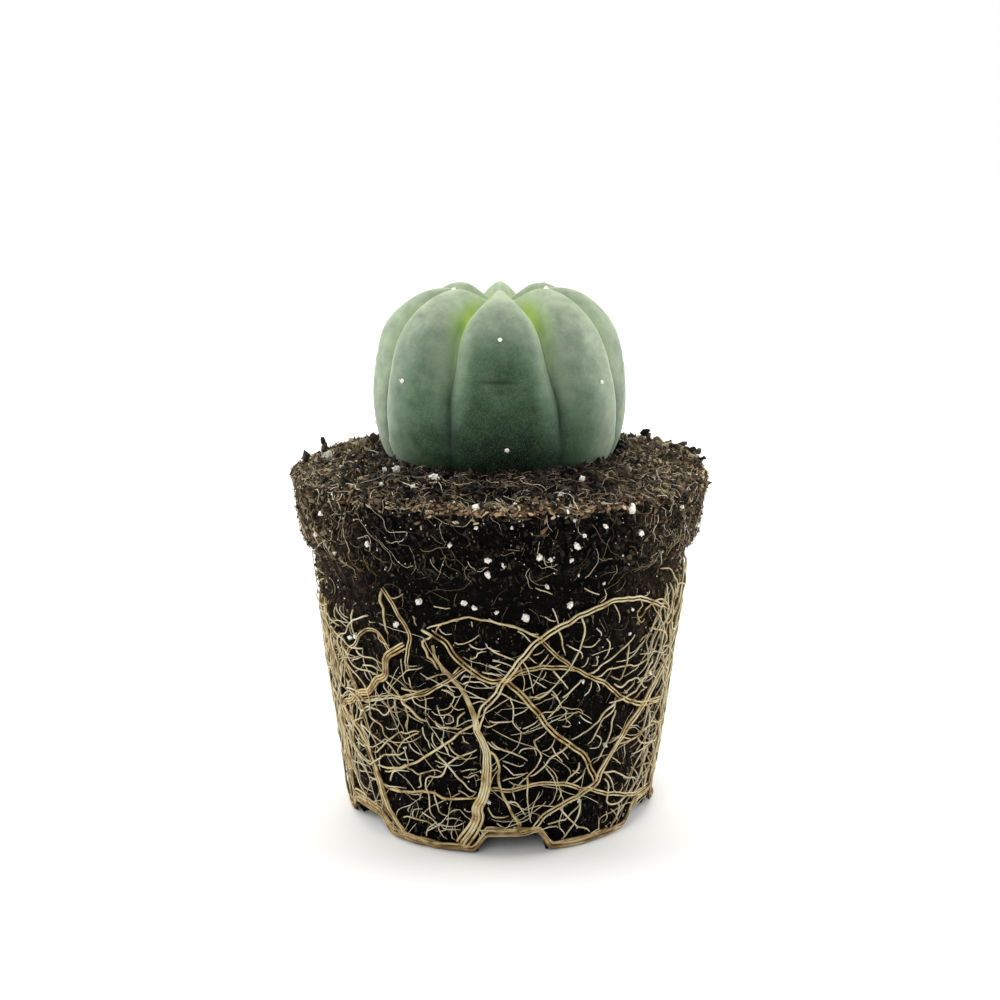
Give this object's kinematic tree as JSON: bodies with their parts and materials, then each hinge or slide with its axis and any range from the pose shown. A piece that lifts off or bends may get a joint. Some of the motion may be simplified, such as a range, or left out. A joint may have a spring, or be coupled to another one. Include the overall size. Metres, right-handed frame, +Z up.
{
  "type": "chin cactus on its bare root ball",
  "caption": "Spineless ribbed globe cactus standing in a pot-shaped root ball of dark potting mix, wrapped in a net of pale roots.",
  "frame": {"origin": "middle of the root ball's flat base, on the surface that it stands on", "axes": "+Z up through the stem's crown, -Y towards the front of the plant as pictured, +X to the right of it"},
  "size_m": [0.1, 0.1004, 0.1279],
  "materials": {
    "succulent_skin": "waxy grey-green cactus skin with a pale bloom, satin",
    "peat_and_perlite": "moist dark peat and bark crumbs with white perlite grains, matte",
    "root_bark": "cream to tan fibrous roots, matte"
  },
  "bodies": {
    "root": {"cactus_stem": "succulent_skin", "root_ball_mix": "peat_and_perlite", "root_net": "root_bark"}
  },
  "joints": []
}
